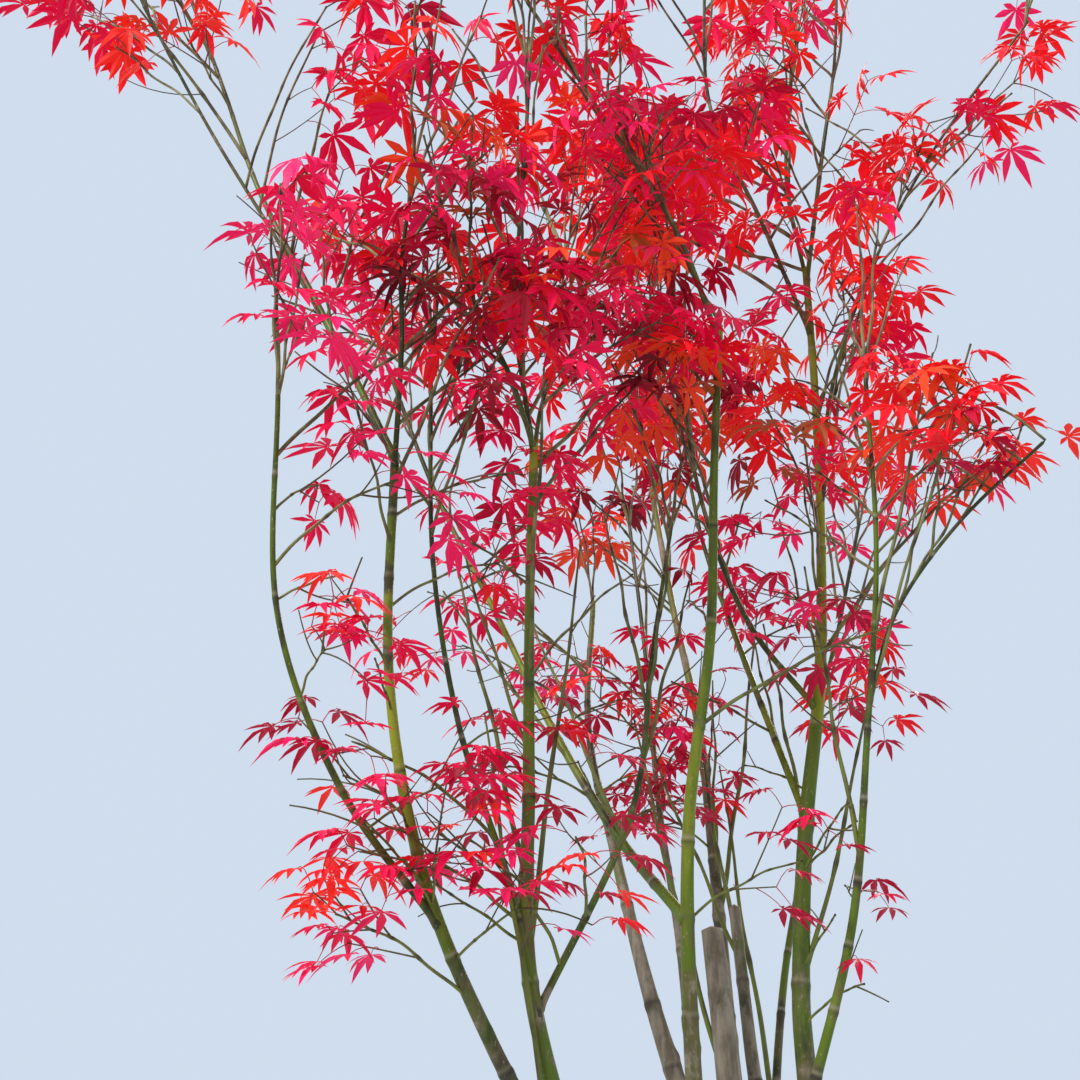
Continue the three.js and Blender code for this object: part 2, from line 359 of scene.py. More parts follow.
# %% [markdown]
# ## Bark
# Young maple bark stays green for years: smooth, with a satin sheen, a dark ring at every node where a
# pair of leaves once sat, and a pale scar just above it. The green changes from one stretch between two
# nodes to the next, from yellow green to a smoky olive, and turns grey brown in patches as the stem gets
# older. The rings and the stretches belong to the limb's own length, so the mesh carries them as layers:
# mark and scar for the rings, smudge for the sooty bark on both sides of a node, tone for the stretch's
# green, and age for how woody it is. The rest is noise in object coordinates, drawn out along the stems,
# which run mostly upwards.

# %% Bark of the stems and of the trunk
SOOT = rgb(0.035, 0.036, 0.014)
NODE_DARK = rgb(0.03, 0.022, 0.02)


def bark(name, smoky, fresh, bright, old, pale):
    """The green goes from smoky over fresh to bright as tone rises, and to old bark with pale patches as
    age rises; then come dark nodes, pale scars and flecks."""
    pad = Pad(name)
    streaks = pad.noise((1, 1, 0.14), 110, 4)
    clouds = pad.noise((1, 1, 0.35), 16, 3)
    blotches = pad.noise((1, 1, 0.6), 40, 4, 0.65)
    grain = pad.noise((1, 1, 0.2), 480, 3)
    specks = {"Vector": pad.stretch((1, 1, 0.45)), "Scale": 230.0}
    flecks = pad.node("ShaderNodeTexVoronoi", {"feature": "F1"}, specks, "Distance")
    tone = pad.layer("tone") + (clouds - 0.5) * 0.9 + (streaks - 0.5) * 0.7 + (blotches - 0.5) * 0.6
    green = pad.mix(rgb(*smoky), rgb(*fresh), pad.between(tone, 0.05, 0.42))
    green = pad.mix(green, rgb(*bright), pad.between(tone, 0.45, 1.05))
    rust = blotches * 0.6 + clouds * 0.4 + pad.layer("smudge") * 0.14 + pad.layer("age") * 0.22
    rusty = pad.between(rust, 0.53, 0.66)
    green = pad.mix(green, rgb(*old), rusty * 0.7)
    bleached = pad.between(streaks * 0.6 + blotches * 0.4, 0.4, 0.64)
    worn = pad.mix(rgb(*old), rgb(*pale), bleached * 0.8)
    woody = pad.between(pad.layer("age") + (blotches - 0.5) * 1.5, 0.45, 0.72)
    colour = pad.mix(green, worn, woody)
    soot = pad.layer("smudge") * 0.75 + (blotches - 0.5) * 1.5 + (clouds - 0.5) * 0.6
    colour = pad.mix(colour, SOOT, pad.between(soot, 0.2, 0.6) * 0.78)
    colour = pad.mix(colour, rgb(*pale), (1 - pad.between(flecks, 0.08, 0.2)) * 0.45)
    colour = pad.mix(colour, rgb(*pale), pad.layer("scar") * 0.55)
    colour = pad.mix(colour, NODE_DARK, pad.layer("mark") * 0.85)
    height = streaks * 0.5 + grain * 0.3 + blotches * 0.45 - pad.layer("mark") * 0.5
    return pad.finish(
        Base_Color=colour,
        Roughness=0.42 + woody * 0.34,
        Normal=pad.bump(height, 0.0014, 0.7),
        Specular_IOR_Level=0.3,
    )


green_bark = bark(
    "green_bark",
    smoky=(0.035, 0.045, 0.012),
    fresh=(0.105, 0.16, 0.008),
    bright=(0.28, 0.33, 0.018),
    old=(0.12, 0.085, 0.045),
    pale=(0.42, 0.37, 0.24),
)
grey_bark = bark(
    "grey_bark",
    smoky=(0.06, 0.06, 0.03),
    fresh=(0.13, 0.16, 0.03),
    bright=(0.24, 0.27, 0.05),
    old=(0.17, 0.135, 0.09),
    pale=(0.4, 0.35, 0.26),
)


# %% [markdown]
# ## Trunk and limbs
# A limb is not a plain tube. It swells into a collar where it leaves its carrier, swells a little again
# at each node, is slightly out of round, and carries the bumps of old pruned shoots. All of that is one
# radius worked out for each row and side, so the limb stays one clean surface along the frame's line.

# %% Relief of the wood
ROW_STEP = 0.004
NODE_STEP = (0.05, 0.12)
NODE_SWELL, NODE_WIDTH = 0.13, 0.004
MARK_PLACE, MARK_WIDTH = 0.0012, 0.0014  # the dark ring, measured from the node
SCAR_PLACE, SCAR_WIDTH = 0.0042, 0.0013  # the pale scar above it
TONE_HEIGHTS, TONE_SHARES = (1.1, 1.6), (0.55, 1)  # the green is duller low down
COLLAR_SWELL = 0.5
KNOT_SPACING = 0.2
KNOT_WIDTH = (0.004, 0.008)
STUBS = {"old_leader_stub", "pruned_stub"}
STUB_BLUNT, TIP_BLUNT = 0.12, 0.9  # the length over which an end closes, in radii
RING_GONE, RING_FADE = 0.013, 0.006  # rings are whole up to a radius of 7 mm and fade towards 13 mm
RING_LEAST = 0.35
SOOT_WIDTH = (0.008, 0.022)
GREY_AGE = 0.38  # how much woodier the grey limbs are
FRESH_AT = {"right_stem": 1.93}  # height round which a limb has kept its brightest green
FRESH_HALF = 0.24


def resample(line, step):
    """The line again with evenly spaced rows, and each row's distance from the foot."""
    gone = np.concatenate([[0], np.cumsum(np.linalg.norm(np.diff(line[:, :3], axis=0), axis=1))])
    rows = max(int(gone[-1] / step), 8)
    even = np.linspace(0, gone[-1], rows)
    return np.stack([np.interp(even, gone, column) for column in line.T], axis=1), even


def lumps(away, turn, count, size):
    """Out of round: a few waves round the limb whose places drift along it."""
    wave = 0
    for number in range(count):
        drift = rng.uniform(4, 14) * away[:, None] + rng.uniform(0, 2 * np.pi)
        wave = wave + np.sin((number + 1) * turn[None, :] + drift) / (number + 1)
    return size * wave


def knots(away, turn, radius, spacing):
    """Bumps of old shoots: a bell of 4 to 8 mm round each of a few seeded places."""
    total = np.zeros((len(away), len(turn)))
    for _ in range(int(away[-1] / spacing)):
        place, side = rng.uniform(0.1, 0.95) * away[-1], rng.uniform(0, 2 * np.pi)
        width = rng.uniform(*KNOT_WIDTH)
        apart = np.angle(np.exp(1j * (turn - side)))[None, :] * radius[:, None]
        bump = np.exp(-((away[:, None] - place) ** 2 + apart**2) / width**2)
        total += rng.uniform(0.25, 0.5) * bump
    return total


def rounded_off(to_end):
    """What is left of the radius near an end: the height of a quarter circle, whole from 1 inwards."""
    return np.sqrt(np.clip(1 - (1 - np.clip(to_end, 0, 1)) ** 2, 0.02, 1))[:, None]


def bark_layers(name, line, offsets, young, turn):
    """The five layers of a limb's bark, one number for each row and side: dark rings and pale scars at the
    nodes, soot on both sides of them, the green's tone by stretch, and how woody the limb is by place."""
    even, around, node_count = line[:, 3], np.ones(len(turn)), offsets.shape[1]
    mark = bell(offsets - MARK_PLACE, MARK_WIDTH).sum(axis=1)
    mark_side = 0.75 + 0.25 * np.sin(turn + rng.uniform(0, 6))
    mark = (np.clip(mark, 0, 1) * young)[:, None] * mark_side[None, :]
    scar = np.clip(bell(offsets - SCAR_PLACE, SCAR_WIDTH).sum(axis=1), 0, 1)
    scar = (scar * young)[:, None] * around
    stretch = (offsets > 0).sum(axis=1)
    tones = np.clip(0.62 + 0.3 * np.sin(0.8 * np.arange(node_count + 1) + rng.uniform(0, 6)), 0, 1)
    tones = tones + rng.normal(0, 0.12, len(tones))
    sturdy = np.clip((even - 0.0018) / 0.0024, 0.1, 1)
    tone = tones[stretch] * sturdy * np.interp(line[:, 2], TONE_HEIGHTS, TONE_SHARES)
    soot = rng.uniform(0, 1, node_count) ** 1.5
    soot_width = rng.uniform(*SOOT_WIDTH, node_count)
    smudge = (soot * bell(offsets, soot_width)).sum(axis=1)
    from_fresh = np.abs(line[:, 2] - FRESH_AT.get(name, np.inf))
    fresh = np.clip(1.5 - 1.5 * from_fresh / FRESH_HALF, 0, 1)
    tone = tone + 0.3 * fresh
    smudge_side = 0.7 + 0.3 * np.sin(turn + rng.uniform(0, 6))
    smudge = (smudge * (1 - 0.6 * fresh))[:, None] * smudge_side[None, :]
    low = np.clip((1.5 - line[:, 2]) / 0.5, 0, 1)
    top = np.clip((line[:, 2] - 1.8) / 0.3, 0, 1)
    age = 0.1 + 0.6 * low + 0.4 * top + 12 * (even - 0.009) - 0.6 * fresh
    age = np.clip(age, -0.3, 1)[:, None] * around
    if slot_of[name] == "bark_grey":
        age = np.clip(age + GREY_AGE, 0, 1)
    layers = {"mark": mark, "scar": scar, "smudge": smudge, "tone": tone[:, None] * around, "age": age}
    return {layer: values.ravel() for layer, values in layers.items()}


def limb_surface(name, sides):
    """Corners of one limb, its number of rows, and its layers. Radius = even taper times (1 + collar at the
    foot + swelling at each node + lumps + knots); the last rows close over the tip."""
    limb = limbs[name]
    line, away = resample(limb["line"], ROW_STEP)
    turn = 2 * np.pi * np.arange(sides) / sides
    even = line[:, 3]
    node_places = np.cumsum(rng.uniform(*NODE_STEP, 60))
    node_places = node_places[node_places < away[-1] - 0.02]
    offsets = away[:, None] - node_places[None, :]
    young = np.clip((RING_GONE - even) / RING_FADE, RING_LEAST, 1)
    swell = bell(offsets, NODE_WIDTH).sum(axis=1) * young
    collar = np.exp(-np.maximum(away - limb["carrier_radius"], 0) / (1.3 * even[0]))
    shape = 1 + NODE_SWELL * swell + COLLAR_SWELL * collar
    radius = even[:, None] * (shape[:, None] + lumps(away, turn, 4, 0.035))
    thick = np.clip((even - 0.004) / 0.008, 0, 1)
    radius = radius + even[:, None] * knots(away, turn, even, KNOT_SPACING) * thick[:, None]
    to_tip = (away[-1] - away) / (even * (STUB_BLUNT if name in STUBS else TIP_BLUNT))
    corners = tubes(line[:, :3], radius * rounded_off(to_tip), sides)
    return corners.reshape(-1, 3), len(away), bark_layers(name, line, offsets, young, turn)


def join_surfaces(name, surfaces, material, replaced):
    """Several tubes with different numbers of rows as one piece."""
    corners, faces, layers, start = [], [], {layer: [] for layer in surfaces[0][2]}, 0
    for points, rows, own in surfaces:
        sides = len(points) // rows
        faces += [face_set + start for face_set in tube_faces(1, rows, sides)]
        corners.append(points)
        for layer, values in own.items():
            layers[layer].append(values)
        start += len(points)
    layers = {layer: np.concatenate(values) for layer, values in layers.items()}
    piece = put(name, np.vstack(corners), faces, material, layers=layers)
    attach(piece, "root")
    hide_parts(*replaced)


def sides_for(name):
    """More sides for thicker limbs."""
    return int(np.clip(limbs[name]["line"][:, 3].max() * 1600, 10, 26)) // 2 * 2


# %% Trunk, with the frame's own buttresses and ridges of bark
TRUNK_SIDES = 64
TRUNK_STEP = 0.006
TRUNK_KNOT_SPACING = 0.16
RIDGE_HEIGHT = 0.0012


def trunk_surface():
    """Each of the frame's rings gives a radius for each direction; these are joined round the trunk by a
    cosine sum and up the trunk by the smooth curve, then bark ridges and lumps are added."""
    centres = trunk_line[:, :3]
    turn = 2 * np.pi * np.arange(TRUNK_SIDES) / TRUNK_SIDES
    rings = []
    for ring, centre in zip(trunk_rings, centres):
        spokes = ring[:, :2] - centre[:2]
        lengths = np.linalg.norm(spokes, axis=1)
        spokes, lengths = spokes[lengths > 0.01], lengths[lengths > 0.01]
        near = np.cos(turn[:, None] - np.arctan2(spokes[:, 1], spokes[:, 0])[None, :])
        weight = np.exp(24 * (near - 1))
        rings.append((weight * lengths).sum(axis=1) / weight.sum(axis=1))
    table = smooth_through(np.hstack([centres, np.array(rings)]), LINE_STEPS)
    heights = np.arange(0, table[-1, 2], TRUNK_STEP)
    table = np.stack([np.interp(heights, table[:, 2], column) for column in table.T], axis=1)
    radius = table[:, 3:] * (1 + lumps(heights, turn, 6, 0.02))
    turns, climb = turn[None, :], heights[:, None]
    ridges = np.sin(11 * turns + 9 * climb) * np.sin(5 * turns - 14 * climb)
    old_shoots = knots(heights, turn, radius.mean(axis=1), TRUNK_KNOT_SPACING)
    radius = radius + RIDGE_HEIGHT * ridges + 0.35 * radius * old_shoots
    to_top = (heights[-1] - heights) / 0.03
    radius = radius * rounded_off(to_top)
    circle = np.stack([np.cos(turn), np.sin(turn), 0 * turn], axis=1)
    corners = table[:, None, :3] + radius[..., None] * circle[None]
    age = (np.clip(1.15 - 0.35 * heights, 0, 1)[:, None] * np.ones(TRUNK_SIDES)).ravel()
    layers = {"mark": 0 * age, "scar": 0 * age, "smudge": 0 * age, "tone": 0.5 + 0 * age, "age": age}
    return corners.reshape(-1, 3), len(heights), layers


join_surfaces("trunk_bark", [trunk_surface()], grey_bark, ["trunk"])
for piece_name, slot, material in [
    ("green_limb_bark", "bark_green", green_bark),
    ("grey_limb_bark", "bark_grey", grey_bark),
]:
    mine = [name for name in limb_names if slot_of[name] == slot]
    join_surfaces(piece_name, [limb_surface(name, sides_for(name)) for name in mine], material, mine)

# %% [markdown]
# ## The branching rule
# A maple branches in opposite pairs. Boughs leave the limbs below a mass of foliage and rise through it,
# and each limb's tip forks into boughs that carry it on. Low boughs are short and lie flat in tiers, high
# ones are longer and steep. Pairs of twigs leave each bough, turned a quarter from one pair to the next,
# and the leaves sit in pairs on the twigs. The crown is open: many twigs are bare, leaves come in sprays,
# and there are fewer of them the lower the mass hangs. Every step is worked out for all boughs at once,
# with seeded random numbers for what varies.

# %% How leafy each mass is
LEAVES_PER_SQUARE_METRE = 1330  # of a mass's outline as seen from the front, high in the crown
THIN_HEIGHT, FULL_HEIGHT = 1.45, 2.05
THIN_SHARE = 0.7
DARK_MIDDLE = 1.7
FULLER = dict(
    back_top=1.8, centre=1.45, centre_left=1.6, low_centre=1.05, low_front=3.0, low_heart=2.2,
    low_right=1.05, right_reach=1.08, shoulder_right=1.05, upper_centre=1.45,
)
SPARSER = dict(
    back_centre=0.22, back_left=0.45, back_low_left=0.65, back_right=0.38, centre_right=0.75,
    far_right_tips=0.5, foot_right=0.65, heart=0.22, low_centre_left=0.85, low_left=0.6, mid_left=0.75,
    mid_right=0.55, tips_centre=0.8, tips_far_left=0.75, tips_left=0.7, tips_right=0.7, upper_right=0.7,
)
DENSITY = {**FULLER, **SPARSER}

# Sprays that stand out in the photo, and holes that go right through the crown. Both are given in shares of
# the mass's half size from its middle: x, y and z of a spray, and x and z of a hole, with the hole's radius
# in metres.
SPRAYS = {
    "back_left": [(0.5, 0, -0.59)],
    "back_low_left": [(-0.23, 0.5, -0.7), (-0.04, 0, -0.34), (0.84, 0.5, -0.83)],
    "back_right": [(0, 0.8, 0.2)],
    "centre": [(-0.47, 0, 0.41)],
    "centre_left": [(-0.75, 0, -0.1)],
    "centre_right": [(-0.37, 0, -0.86), (-0.3, 0, 0.22)],
    "far_right_tips": [(-0.6, 0.3, -0.1)],
    "foot_right": [(0.15, 0, -0.8), (0.25, 0, 0.54), (-0.7, 0, 0.2)],
    "heart": [(0.4, 0.2, -0.7), (0.29, 0, 0.52)],
    "low_centre_left": [(0, 0, 0.75), (-0.1, 0, -0.1)],
    "low_front": [
        (0.7, 0, -0.8),
        (-0.5, 0, -0.85),
        (-0.5, 0, 0.7),
        (-0.45, 0, 1.1),
        (0.2, 0, 0.6),
        (-0.1, 0, 0.1),
        (0.2, -0.3, -0.2),
        (1.1, 0, 0),
    ],
    "low_heart": [(-0.88, 0, 0.15), (0.9, 0, -0.6), (-0.3, 0.4, -1.0), (-0.4, 0, -0.7), (0.02, 0, -1.0)],
    "low_left": [(0.2, 0, 0.07), (0.04, 0, -0.45)],
    "low_right": [(0.62, 0, -0.64), (0.44, 0, -0.07), (-0.27, 0, 0.64)],
    "mid_left": [(-0.13, -0.5, 0.18), (-0.1, 0.4, -0.7), (0.6, 0, -0.9)],
    "mid_right": [(-0.3, 0, 0.36)],
    "right_reach": [(-0.3, 0, 0.25), (-0.37, 0, 0.6), (0.17, 0, 0.2), (-0.25, 0, -0.45)],
    "shoulder_right": [(0, 0, -0.13), (0.29, 0, -0.13), (-0.65, 0, 0.91), (-0.71, 0, -0.26)],
    "tips_centre": [(-0.1, 0, -0.9), (0.2, 0, -0.75)],
    "tips_far_left": [(-0.2, 0, -0.5), (0.6, 0, -0.65)],
    "tips_left": [(-0.5, 0, -0.1), (-0.62, 0, 0.3), (-0.13, 0, -0.85), (0.39, 0, -0.85)],
    "tips_right": [(-0.3, 0, -0.8), (0.1, 0, -0.7), (-0.15, 0, -1.15)],
    "upper_centre": [(-0.6, 0, 0.1), (0.6, 0, -0.2)],
    "upper_left": [(-0.05, 0, 0.85), (0.18, -0.5, 0.23), (0.3, -0.2, 0.4)],
    "upper_right": [(-0.18, 0, -0.45), (0.72, 0, -0.4), (-0.5, 0, -0.2)],
}
OPEN_HOLES = {
    "back_centre": [(-0.31, -0.66, 0.045), (-0.3, 0.34, 0.04)],
    "back_low_left": [(0.98, -0.2, 0.045)],
    "far_right_tips": [(-0.55, 0.45, 0.075), (-0.2, -0.95, 0.06), (-0.68, -1.06, 0.085)],
    "low_centre_left": [(0.92, -0.35, 0.045)],
    "low_front": [(-1.2, 0.2, 0.08), (-1.2, -0.3, 0.06)],
    "low_left": [(-0.85, 0.0, 0.08), (-0.74, -0.92, 0.07), (0.8, 0.2, 0.04)],
    "low_right": [(-0.27, -0.37, 0.05)],
    "mid_left": [(-0.85, 0.6, 0.075), (-0.8, -0.8, 0.06)],
    "mid_right": [(0.7, 0.0, 0.06)],
    "right_reach": [(0.6, 0.9, 0.08), (-0.12, 1.4, 0.06), (0.45, -0.85, 0.07)],
    "shoulder_right": [(0.0, 0.8, 0.05), (0.75, 0.5, 0.09), (0.9, -0.35, 0.06)],
    "tips_centre": [(0.7, -0.9, 0.06)],
    "tips_left": [(-0.6, -1.0, 0.05), (-1.0, -0.2, 0.07)],
    "tips_right": [(0.8, -0.7, 0.08), (-0.93, -0.81, 0.06)],
    "upper_centre": [(0.45, 1.13, 0.06)],
    "upper_left": [(-0.8, -0.5, 0.075), (-0.75, 0.6, 0.06)],
    "upper_right": [(0.75, 0.5, 0.06)],
}


def short_name(mass):
    """The name by which the tables above list a mass."""
    return mass.removeprefix(FOLIAGE)


def mass_shape(mass):
    """Middle and half size of a mass."""
    low, high = (np.array(list(corner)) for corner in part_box(mass))
    return (low + high) / 2, (high - low) / 2


def in_open_hole(points, masses):
    """Which points lie in a hole of their own mass, seen from the front."""
    inside = np.zeros(len(points), dtype=bool)
    for mass, holes in OPEN_HOLES.items():
        middle, half = mass_shape(FOLIAGE + mass)
        for x_share, z_share, radius in holes:
            hole = middle[[0, 2]] + half[[0, 2]] * np.array([x_share, z_share])
            near = np.linalg.norm(points[:, [0, 2]] - hole, axis=1) < radius
            inside |= near & (masses == mass_names.index(FOLIAGE + mass))
    return inside


def leaves_wanted(mass):
    """Area of the mass's outline times how full the crown is there: thin low down, full high up, more again
    where it is dark, and then as the photo shows each mass."""
    middle, half = mass_shape(mass)
    high = np.clip((middle[2] - THIN_HEIGHT) / (FULL_HEIGHT - THIN_HEIGHT), 0, 1)
    share = THIN_SHARE + (1 - THIN_SHARE) * high
    share = share * DENSITY.get(short_name(mass), 1.0)
    if slot_of[mass] == "leaves_maroon":
        share = share * DARK_MIDDLE
    return LEAVES_PER_SQUARE_METRE * np.pi * half[0] * half[2] * share


wanted = np.array([leaves_wanted(mass) for mass in mass_names])
print("leaves wanted:", int(wanted.sum()))

# %% Where the boughs start and end
BOUGH_HEIGHTS = (1.65, 2.0)  # the next three change between a mass this low and one this high
LEAVES_PER_BOUGH = (6.5, 7)
BEST_REACH = (0.1, 0.17)  # a bough's best length from wood to end, and the best share of it that is rise
BEST_RISE = (0.45, 0.78)
BOUGH_ROWS = 25
BOUGH_COUNT = (3, 14)  # fewest and most in a mass
HUGGING = 0.85  # a bough hugs its limb where the cosine of the angle between them is above this
RISE_WEIGHT, HUG_WEIGHT = 0.3, 0.8
BOUGH_REACH = (0.25, 0.68)  # shares of a mass's half size between which its boughs end
ROOM = 0.05  # kept free inside the frame's box for twigs and leaves
PLAIN, SPRAY, SHOOT, TIP = range(4)  # kinds of bough
CROWDING, CROWDED = 0.065, 0.05  # how much worse a bough makes the wood near it, and how near in metres
GOLDEN_ANGLE = 2.39996

wood_lines = {name: resample(limb["line"], 0.01)[0] for name, limb in limbs.items()}
wood = np.vstack(list(wood_lines.values()))
wood_along = np.vstack([unit(np.gradient(line[:, :3], axis=0)) for line in wood_lines.values()])
crowded = np.zeros(len(wood))
shapes = np.array([mass_shape(mass) for mass in mass_names])
carried_on = {carrier for carrier, share in CARRIED_BY.values() if share > 0.9}
growing = [name for name in limb_names if name not in STUBS and name not in carried_on]


def crowd(place):
    """Makes the wood round a place worse for the next boughs: a bell that fades within CROWDED."""
    crowded[:] += CROWDING * bell(np.linalg.norm(wood[:, :3] - place, axis=1), CROWDED)


for name in growing:
    crowd(wood_lines[name][-1, :3])


def only(kept, *arrays):
    """The kept rows of several arrays."""
    return [values[kept] for values in arrays]


def in_box(points, room):
    """Which points lie in the frame's box with this much room to spare."""
    return np.all((points > cad_box[0] + room) & (points < cad_box[1] - room), axis=1)


def in_half_sizes(points):
    """How far each point is from each mass's middle, counted in that mass's half sizes."""
    return np.linalg.norm((points[:, None] - shapes[:, 0]) / shapes[:, 1], axis=2)


def spread_over_ball(count):
    """Points spread evenly over a unit ball's surface by the golden angle, jittered."""
    turn = np.arange(count) * GOLDEN_ANGLE + rng.uniform(0, 6.28)
    height = 1 - 2 * (np.arange(count) + 0.5) / count
    flat = np.sqrt(1 - height**2)
    even = np.stack([flat * np.cos(turn), flat * np.sin(turn), height], axis=1)
    return even + rng.normal(0, 0.15, (count, 3))


def start_boughs(mass):
    """Starts, their limb's direction and radius, ends, and kind, for one mass. A start is the wood point
    whose way to the end is nearest to the best length and the best rise. Crowded places count as worse,
    and so does a way that would hug the limb."""
    middle, half = mass_shape(mass)
    on_each, best_reach, best_rise = (
        np.interp(middle[2], BOUGH_HEIGHTS, pair) for pair in (LEAVES_PER_BOUGH, BEST_REACH, BEST_RISE)
    )
    own = np.array(SPRAYS.get(short_name(mass), np.empty((0, 3))))
    count = int(np.clip(round(wanted[mass_names.index(mass)] / on_each) - len(own), *BOUGH_COUNT))
    places = spread_over_ball(count) * rng.uniform(*BOUGH_REACH, (count, 1))
    ends = np.clip(middle + np.vstack([own, places]) * half, cad_box[0] + ROOM, cad_box[1] - ROOM)
    picks = []
    for end in ends:
        way = end - wood[:, :3]
        far = np.linalg.norm(way, axis=1)
        level_with_limb = np.clip((way * wood_along).sum(axis=1) / far - HUGGING, 0, 1)
        cost = np.abs(far - best_reach) + RISE_WEIGHT * np.abs(way[:, 2] / far - best_rise)
        pick = int(np.argmin(cost + HUG_WEIGHT * level_with_limb + crowded))
        picks.append(pick)
        crowd(wood[pick, :3])
    kind = np.repeat([SPRAY, PLAIN], [len(own), count])
    return wood[picks, :3], wood_along[picks], wood[picks, 3], ends, kind


FORKS = 3
FORK_LENGTH = (0.12, 0.24)
FORK_SPREAD, FORK_LIFT = 0.42, 0.12
STRAIGHT_ON = 0.1  # the first bough keeps only this share of its spread


def fork_tip(name):
    """Boughs that carry a limb on from its tip: its own direction, spread by about 25 degrees."""
    line = wood_lines[name]
    along = unit(line[-1, :3] - line[-4, :3])
    spread = unit(rng.normal(0, 1, (FORKS, 3))) * FORK_SPREAD + FORK_LIFT * UP
    spread[0] = STRAIGHT_ON * spread[0]
    ends = line[-1, :3] + unit(along + spread) * rng.uniform(*FORK_LENGTH, (FORKS, 1))
    ends = np.clip(ends, cad_box[0] + ROOM, cad_box[1] - ROOM)
    starts = np.repeat(line[-2:-1, :3], FORKS, axis=0)
    radius = np.full(FORKS, line[-2, 3] * 1.1)
    return starts, np.repeat(along[None], FORKS, axis=0), radius, ends, np.full(FORKS, TIP)


SHOOTS = 55
SHOOT_TRIES = 400
SHOOT_HEIGHT = (0.95, 2.45)
SHOOT_LENGTH = (0.16, 0.34)
LOW_SHOOT = (1.7, 0.35)  # below this height shoots get longer, up to this much more
SHOOT_SPREAD = (0.15, 0.5)
SHOOT_NEAR = 1.1  # a shoot ends at most this many half sizes from the middle of a mass
CLEAR_LEFT = (-0.25, 0.2)  # left of this place a shoot is less likely, by this share


def side_shoots():
    """Long thin shoots from seeded places on the limbs: the limb's own direction, tipped to one side and
    drawn upwards. Of many tries the first that end inside the crown, in or near a mass, are taken."""
    fits = np.flatnonzero((wood[:, 2] > SHOOT_HEIGHT[0]) & (wood[:, 2] < SHOOT_HEIGHT[1]))
    likely = np.where(wood[fits, 0] < CLEAR_LEFT[0], CLEAR_LEFT[1], 1.0)
    picks = rng.choice(fits, SHOOT_TRIES, replace=False, p=likely / likely.sum())
    along = wood_along[picks]
    out = rng.normal(0, 1, (SHOOT_TRIES, 3))
    out = unit(out - (out * along).sum(axis=1, keepdims=True) * along)
    heading = unit(along + out * rng.uniform(*SHOOT_SPREAD, (SHOOT_TRIES, 1)) + 0.4 * UP)
    longer = 1 + LOW_SHOOT[1] * np.clip((LOW_SHOOT[0] - wood[picks, 2:3]) / 0.5, 0, 1)
    ends = wood[picks, :3] + heading * rng.uniform(*SHOOT_LENGTH, (SHOOT_TRIES, 1)) * longer
    near = in_half_sizes(ends).min(axis=1) < SHOOT_NEAR
    taken = np.flatnonzero(near & in_box(ends, ROOM))[:SHOOTS]
    grown_from = wood[picks[taken]]
    return grown_from[:, :3], heading[taken], grown_from[:, 3], ends[taken], np.full(len(taken), SHOOT)


FOOT_LEAN = 0.3  # how much a bough first follows its limb
WOBBLE, WOBBLE_REACH = 0.01, 0.22  # side waves as a share of the length, but of this length at most

parts = [start_boughs(mass) for mass in mass_names]
parts += [fork_tip(name) for name in growing]
parts += [side_shoots()]
starts, rising, wood_radius, ends, kind = map(np.concatenate, zip(*parts))
mass_number = np.argmin(in_half_sizes(ends), axis=1)
grown = ~in_open_hole(ends, mass_number)
starts, rising, wood_radius, ends, kind, mass_number = only(
    grown, starts, rising, wood_radius, ends, kind, mass_number
)
way = ends - starts
reach = np.linalg.norm(way, axis=1, keepdims=True)
halfway = starts + unit(FOOT_LEAN * rising + unit(way)) * 0.5 * reach
bends = halfway + UP * rng.normal(-0.02, 0.05, reach.shape) * reach
boughs = quadratic(starts, bends, ends, BOUGH_ROWS)
sway = np.linspace(0, 1, BOUGH_ROWS)[None, :, None]
waves = np.sin(sway * rng.uniform(7, 16, (len(boughs), 1, 3)) + rng.uniform(0, 6, (len(boughs), 1, 3)))
boughs = boughs + waves * np.sin(np.pi * sway) * WOBBLE * np.minimum(reach, WOBBLE_REACH)[:, None]
print(len(boughs), "boughs, mean length", reach.mean().round(3))

# %% Twigs in opposite pairs
TWIG_SHARES = np.array([0.42, 0.6, 0.76, 0.9, 1.0])
TWIG_ROWS = 7
TWIG_LENGTH = (0.03, 0.095)
TWIG_ANGLE = np.radians(40)
TWIG_CHANCE = 0.62
SHOOT_TWIG_CHANCE = 0.3
TIP_TWIGS = 0.3  # how much likelier the twigs near a bough's tip are
BARE_TWIGS = 0.12  # share of the twigs without a leaf that are kept
BOUGH_TIP = 0.0009
BOUGH_TAPER = 0.006
BOUGH_NODE_SWELL, BOUGH_NODE_WIDTH = 0.4, 0.018
TWIG_RADIUS = (0.00095, 0.00065)
TWIG_TILT, PAIR_TURN = 0.35, 1.25  # random tilt of a pair of twigs, and the turn from one pair to the next


def at_shares(lines, shares):
    """Points and directions at given shares of the way along each line."""
    rows = lines.shape[1] - 1
    place = np.clip(shares * rows, 0, rows - 1e-6)
    row = place.astype(int)
    number = np.arange(len(lines))[:, None]
    part = (place - row)[..., None]
    low, high = lines[number, row], lines[number, row + 1]
    return low + (high - low) * part, unit(high - low)


def pair_directions(along, tilt, angle):
    """Two directions that leave a line at an angle, on opposite sides of it. The plane of the pair is
    level, turned about the line by the tilt."""
    level = unit(np.cross(along, UP) + 1e-4)
    above = np.cross(level, along)
    out = np.cos(tilt)[..., None] * level + np.sin(tilt)[..., None] * above
    both = np.stack([out, -out], axis=-2)
    return unit(np.cos(angle) * along[..., None, :] + np.sin(angle) * both)


